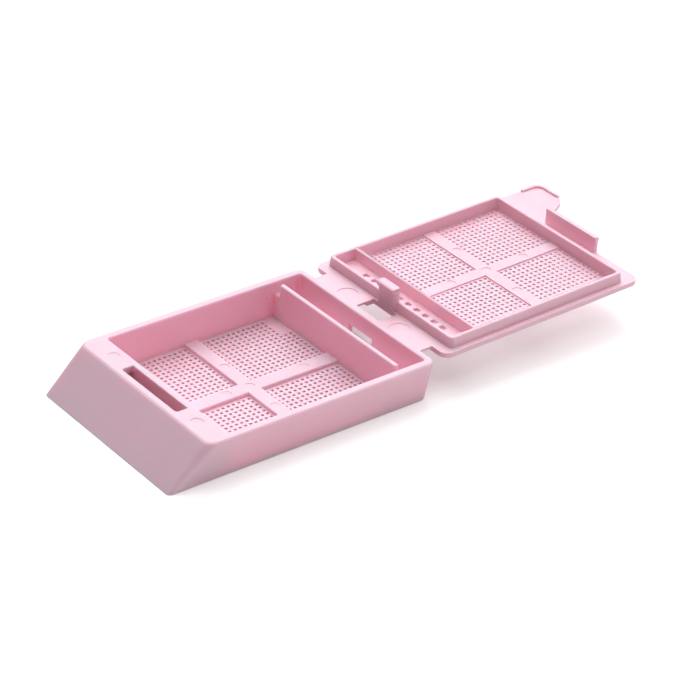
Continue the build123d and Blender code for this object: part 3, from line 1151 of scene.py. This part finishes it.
    def tilt(self, lid: bpy.types.Object) -> None:
        """Turn the lid up about the fold line, by what the web springs back.

        Args:
            lid: The moulding.
        """
        fold = Matrix.Translation((self.hinge.x, 0, self.hinge.z))
        turn = Matrix.Rotation(math.radians(-self.hinge.lift), 4, "Y")
        lid.matrix_world = fold @ turn @ fold.inverted()
        activate(lid)
        bpy.ops.object.transform_apply()

    def build(self) -> bpy.types.Object:
        """The whole lid, at the scale of millimetres."""
        lid = self.plate_body()
        merge(lid, self.tongue(), Merge.JOIN)
        self.ribs_and_pocket(lid)
        self.pierce(lid)
        edge = self.plate.x.low
        gap = slab(
            "gap",
            Footprint(Span(edge - CUT, self.hook_face), self.hinge.window_half),
            Span(self.bottom, self.top).grown(CUT),
        )
        marks = self.marks
        marks.pair(lid, self.middle_rib.low - self.strip_to_rib, marks.strip_reach, self.step, marks.radius)
        merge(lid, gap, Merge.CUT)
        merge(lid, self.hook(), Merge.JOIN)
        web = Span(self.hinge.x, edge + self.hinge.root)
        merge(lid, self.hinge.film(web, self.top, Span(self.hinge.x - CUT, self.hook_face)), Merge.JOIN)
        marks.cross(lid, self.bar.middle, self.step, self.mark_beside, self.marks_along)
        marks.pair(lid, self.hinge.x, marks.web_reach, self.top, marks.web_radius)
        z = Span(self.bottom + LAP / 2, self.top - self.sheet_depth)
        sheets = gather([self.sieve.sheet(window, z) for window in self.windows()])
        merge(lid, mirrored(sheets), Merge.JOIN)
        self.tilt(lid)
        return lid


def finish(piece: bpy.types.Object, node: str, acetal: Acetal) -> None:
    """Bring a moulding to metres, smooth and dress it, and let it stand for its CAD node.

    Args:
        piece: The moulding, at the scale of millimetres.
        node: Name of the CAD node and of the body that it rides on.
        acetal: Its finish.
    """
    piece.scale = (MM, MM, MM)
    activate(piece)
    bpy.ops.object.transform_apply()
    with editing(piece, Select.VERT):
        bpy.ops.mesh.select_all(action="SELECT")
        bpy.ops.mesh.remove_doubles(threshold=SAME * MM)
        bpy.ops.mesh.normals_make_consistent(inside=False)
    activate(piece)
    bpy.ops.object.shade_smooth_by_angle(angle=math.radians(SMOOTH))
    modifier = piece.modifiers.new("weighted_normals", "WEIGHTED_NORMAL")
    modifier.keep_sharp = True
    bpy.ops.object.modifier_apply(modifier=modifier.name)
    piece.data.materials.clear()
    piece.data.materials.append(acetal.make())
    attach(piece, node)
    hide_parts(node)
    log.info("%s: %d faces", piece.name, len(piece.data.polygons))


# ---------------------------------------------------------------- studio


@dataclass(frozen=True)
class Lamp:
    """Square area lamp."""

    name: str
    place: Point
    size: float
    power: float
    colour: Colour = (1.0, 1.0, 1.0)

    def light(self, target: Vector) -> None:
        """Hang the lamp, facing a target.

        Args:
            target: The place that it faces.
        """
        bpy.ops.object.light_add(type="AREA", location=self.place)
        lamp = bpy.context.object
        lamp.name = self.name
        lamp.data.energy = self.power
        lamp.data.size = self.size
        lamp.data.color = self.colour
        lamp.rotation_euler = (target - Vector(self.place)).to_track_quat("-Z", "Y").to_euler()


@dataclass(frozen=True)
class Camera:
    """Long lens, a little above the bench, over the tray's near front corner."""

    aim: Point = (0.015523, -0.002738, 0.003)
    azimuth: float = 39.5648
    elevation: float = 31.2173
    roll: float = 3.3451
    distance: float = 0.36344
    lens: float = 145.4567
    sensor: float = 36.0

    def place(self) -> None:
        """Add the camera and make it the scene's."""
        across, up = math.radians(self.azimuth), math.radians(self.elevation)
        ahead = Vector((math.sin(across) * math.cos(up), math.cos(across) * math.cos(up), -math.sin(up)))
        bpy.ops.object.camera_add()
        camera = bpy.context.object
        camera.matrix_world = (
            Matrix.Translation(Vector(self.aim) - ahead * self.distance)
            @ ahead.to_track_quat("-Z", "Y").to_matrix().to_4x4()
            @ Matrix.Rotation(math.radians(self.roll), 4, "Z")
        )
        camera.data.lens = self.lens
        camera.data.sensor_width = self.sensor
        camera.data.clip_start = 0.01
        bpy.context.scene.camera = camera


@dataclass(frozen=True)
class Studio:
    """Bench of white paper in soft light."""

    target: Point = (0.02, 0.0, 0.0)
    bench: float = 4.0
    bench_corner: float = 0.3
    bench_drop: float = 0.00002  # keeps the paper clear of the tray's foot
    ambient: float = 0.02
    paper: Paper = field(default_factory=Paper)
    camera: Camera = field(default_factory=Camera)
    lamps: tuple[Lamp, ...] = (
        Lamp("overhead", (0.0, 0.0, 0.9), 1.0, 5.2, (1.0, 0.99, 0.99)),
        Lamp("key", (0.25, 0.45, 0.75), 0.7, 4.0, (0.92, 0.95, 1.0)),
        Lamp("sheen", (0.545, 0.66, 0.52), 0.9, 3.1, (0.86, 0.95, 1.0)),
        Lamp("behind", (0.8, 0.0, 0.4), 1.0, 3.4, (1.0, 0.78, 0.76)),
        Lamp("low", (0.2, -0.85, 0.15), 0.7, 1.25, (0.80, 0.98, 1.0)),
    )

    def build(self) -> None:
        """Lay the bench, hang the lamps and place the camera."""
        bpy.ops.mesh.primitive_plane_add(size=self.bench)
        bench = bpy.context.object
        bench.name = "bench"
        with editing(bench, Select.VERT):
            bpy.ops.mesh.select_all(action="SELECT")
            bpy.ops.mesh.bevel(offset=self.bench_corner, segments=6, affect="VERTICES")
            bpy.ops.mesh.select_all(action="SELECT")
            bpy.ops.transform.translate(value=(0, 0, -self.bench_drop))
        bench.data.materials.append(self.paper.make())
        for lamp in self.lamps:
            lamp.light(Vector(self.target))
        world = bpy.data.worlds.new("room")
        world.use_nodes = True
        world.node_tree.nodes["Background"].inputs["Color"].default_value = (1, 1, 1, 1)
        world.node_tree.nodes["Background"].inputs["Strength"].default_value = self.ambient
        bpy.context.scene.world = world
        bpy.context.scene.view_settings.view_transform = "Standard"
        self.camera.place()


def main() -> None:
    """Build the tray, the lid and the studio around them."""
    logging.basicConfig(level=logging.INFO, format="%(name)s: %(message)s")
    hinge = Hinge.from_frame()
    latches = Latches()
    tray = Tray(hinge, latches)
    fold = hinge.x * MM
    finish(tray.build(), "tray", Acetal(fold, thick_above=Span(tray.sheet_top, tray.bar_top)))
    finish(Lid(hinge, latches, tray).build(), "lid", Acetal(fold))
    Studio().build()


if __name__ == "__main__":
    main()
